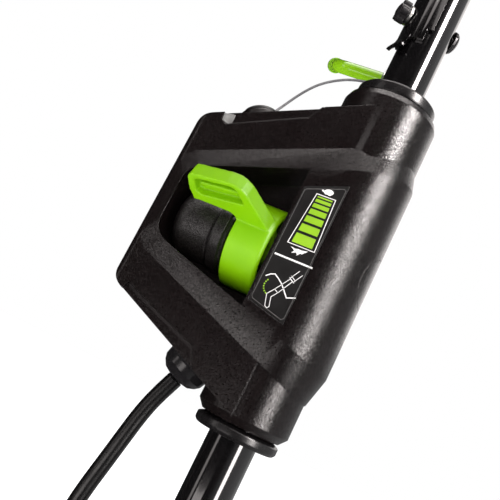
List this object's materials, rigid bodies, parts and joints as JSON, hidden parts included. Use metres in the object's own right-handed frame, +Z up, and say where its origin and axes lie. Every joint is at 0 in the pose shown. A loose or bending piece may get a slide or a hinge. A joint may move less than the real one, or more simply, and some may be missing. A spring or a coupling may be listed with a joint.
{
  "type": "handle speed control unit",
  "caption": "Clamshell speed control on a handle tube, with a thumb lever, start button, drive bail, folding tube joint and a coiled power lead.",
  "frame": {"origin": "centre of the handle tube's lower end, on the tube's axis", "axes": "+Z up the handle tube, -Y out of the face with the lever, -X along the wing towards the middle of the handle"},
  "size_m": [0.1443, 0.1434, 0.67],
  "materials": {
    "tube_paint": "gloss",
    "black_plastic": "matte",
    "black_zinc": "gloss",
    "zinc": "satin",
    "gloss_black": "gloss",
    "housing": "textured",
    "collar": "satin",
    "label": "satin",
    "seal_rubber": "matte",
    "lead_jacket": "satin",
    "contact_brass": "satin",
    "strap": "woven",
    "green_plastic": "satin",
    "steel": "satin",
    "board": "matte",
    "wire_red": "matte",
    "green_paint": "gloss",
    "grip_rubber": "matte",
    "thin_lead": "satin"
  },
  "bodies": {
    "housing": {"handle_tube": "tube_paint", "lower_plug": "black_plastic", "inner_plug": "black_plastic", "upper_tube": "tube_paint", "upper_end_plug": "black_plastic", "joint_bolt": "black_zinc", "joint_washer": "zinc", "joint_knob": "gloss_black", "front_shell": "housing", "rear_shell": "housing", "top_collar": "collar", "bottom_collar": "collar", "label_plate": "label", "hub_cover": "housing", "side_cap": "housing", "clamp_screw": "zinc", "shell_screws": "zinc", "gland_body": "gloss_black", "gland_nut": "black_plastic", "gland_seal": "seal_rubber", "power_lead": "lead_jacket", "lead_coil": "lead_jacket", "lead_tail": "lead_jacket", "lead_plug": "gloss_black", "plug_pins": "contact_brass", "coil_strap": "strap", "left_bush": "contact_brass", "right_bush": "contact_brass", "pot_body": "steel", "detent_ball": "steel", "detent_spring": "steel", "button_collar": "housing", "button_spring": "steel", "start_switch": "black_plastic", "circuit_board": "board", "board_parts": "black_plastic", "wire_loom": "wire_red", "bail_bracket": "black_plastic", "bail_screws": "zinc", "bail_spring": "steel", "bail_switch": "black_plastic", "sensor_lead": "thin_lead", "lead_grommet": "seal_rubber"},
    "lever": {"speed_lever": "green_plastic", "lever_shaft": "steel", "pot_rotor": "contact_brass"},
    "button": {"button_cap": "black_plastic"},
    "bail": {"bail_rod": "green_paint", "bail_tip": "grip_rubber"}
  },
  "joints": [
    {"name": "lever_turn", "type": "hinge", "parent": "housing", "child": "lever", "pos_m": [-0.031, -0.006, 0.41], "axis": [1, 0, 0], "range_deg": [-8, 48]},
    {"name": "button_press", "type": "slide", "parent": "housing", "child": "button", "axis": [0.402, 0, -0.9157], "range_m": [0, 0.003], "stiffness_N_per_m": 300, "springref_m": -0.001, "deforming": ["button_spring"]},
    {"name": "bail_turn", "type": "hinge", "parent": "housing", "child": "bail", "pos_m": [-0.03, 0.04, 0.55], "axis": [1, 0, 0], "range_deg": [0, 45], "stiffness_Nm_per_rad": 0.03, "springref_deg": -22.92}
  ]
}
